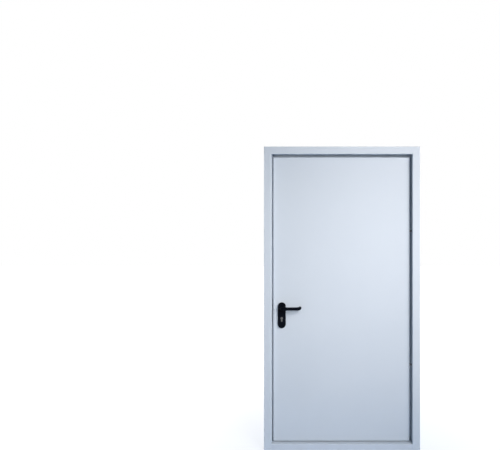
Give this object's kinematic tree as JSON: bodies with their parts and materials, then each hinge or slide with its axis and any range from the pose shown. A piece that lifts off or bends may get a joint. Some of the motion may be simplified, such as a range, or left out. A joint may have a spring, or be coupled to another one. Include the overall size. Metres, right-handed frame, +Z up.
{
  "type": "steel utility door with frame",
  "caption": "Flush single-leaf steel door in a folded sheet frame with threshold, with barrel hinges on one jamb and a lever handle over a profile cylinder.",
  "frame": {"origin": "middle of the threshold's underside, midway between the two wall faces and the two frame faces", "axes": "+X to the right seen from the push side, where the hinges are; +Y from the push side to the pull side; +Z up"},
  "size_m": [1.08, 0.181, 2.1],
  "materials": {
    "frame_paint": "satin powder coat",
    "leaf_paint": "satin powder coat",
    "hinge_paint": "satin powder coat",
    "seal_rubber": "matt",
    "handle_black": "fine matt",
    "cylinder_nickel": "satin nickel",
    "lock_steel": "zinc plated",
    "pin_steel": "bright",
    "washer_brass": "satin"
  },
  "bodies": {
    "frame": {"bolt_strike_box": "lock_steel", "frame_head": "frame_paint", "head_seal": "seal_rubber", "hinge_jamb": "frame_paint", "hinge_seal": "seal_rubber", "latch_strike_box": "lock_steel", "lock_jamb": "frame_paint", "lock_seal": "seal_rubber", "lower_frame_knuckle": "hinge_paint", "lower_hinge_pin": "pin_steel", "lower_hinge_washer": "washer_brass", "threshold": "frame_paint", "threshold_seal": "seal_rubber", "upper_frame_knuckle": "hinge_paint", "upper_hinge_pin": "pin_steel", "upper_hinge_washer": "washer_brass"},
    "leaf": {"cylinder_plugs": "cylinder_nickel", "dead_bolt": "lock_steel", "dog_pins": "pin_steel", "latch_bolt": "lock_steel", "leaf_pull_skin": "leaf_paint", "leaf_push_skin": "leaf_paint", "lock_case": "lock_steel", "lock_cylinder": "cylinder_nickel", "lock_forend": "lock_steel", "lock_mounts": "lock_steel", "lower_leaf_knuckle": "hinge_paint", "pull_plate": "handle_black", "push_plate": "handle_black", "upper_leaf_knuckle": "hinge_paint"},
    "levers": {"push_lever": "handle_black", "pull_lever": "handle_black", "spindle": "pin_steel"}
  },
  "joints": [
    {"name": "leaf_swing", "type": "hinge", "parent": "frame", "child": "leaf", "pos_m": [0.4995, 0.058, 1.05], "axis": [0, 0, -1], "range_deg": [0, 110]},
    {"name": "lever_turn", "type": "hinge", "parent": "leaf", "child": "levers", "pos_m": [-0.4205, 0.0175, 0.979], "axis": [0, 1, 0], "range_deg": [0, 45], "stiffness_Nm_per_rad": 1.5, "springref_deg": -34.38}
  ]
}
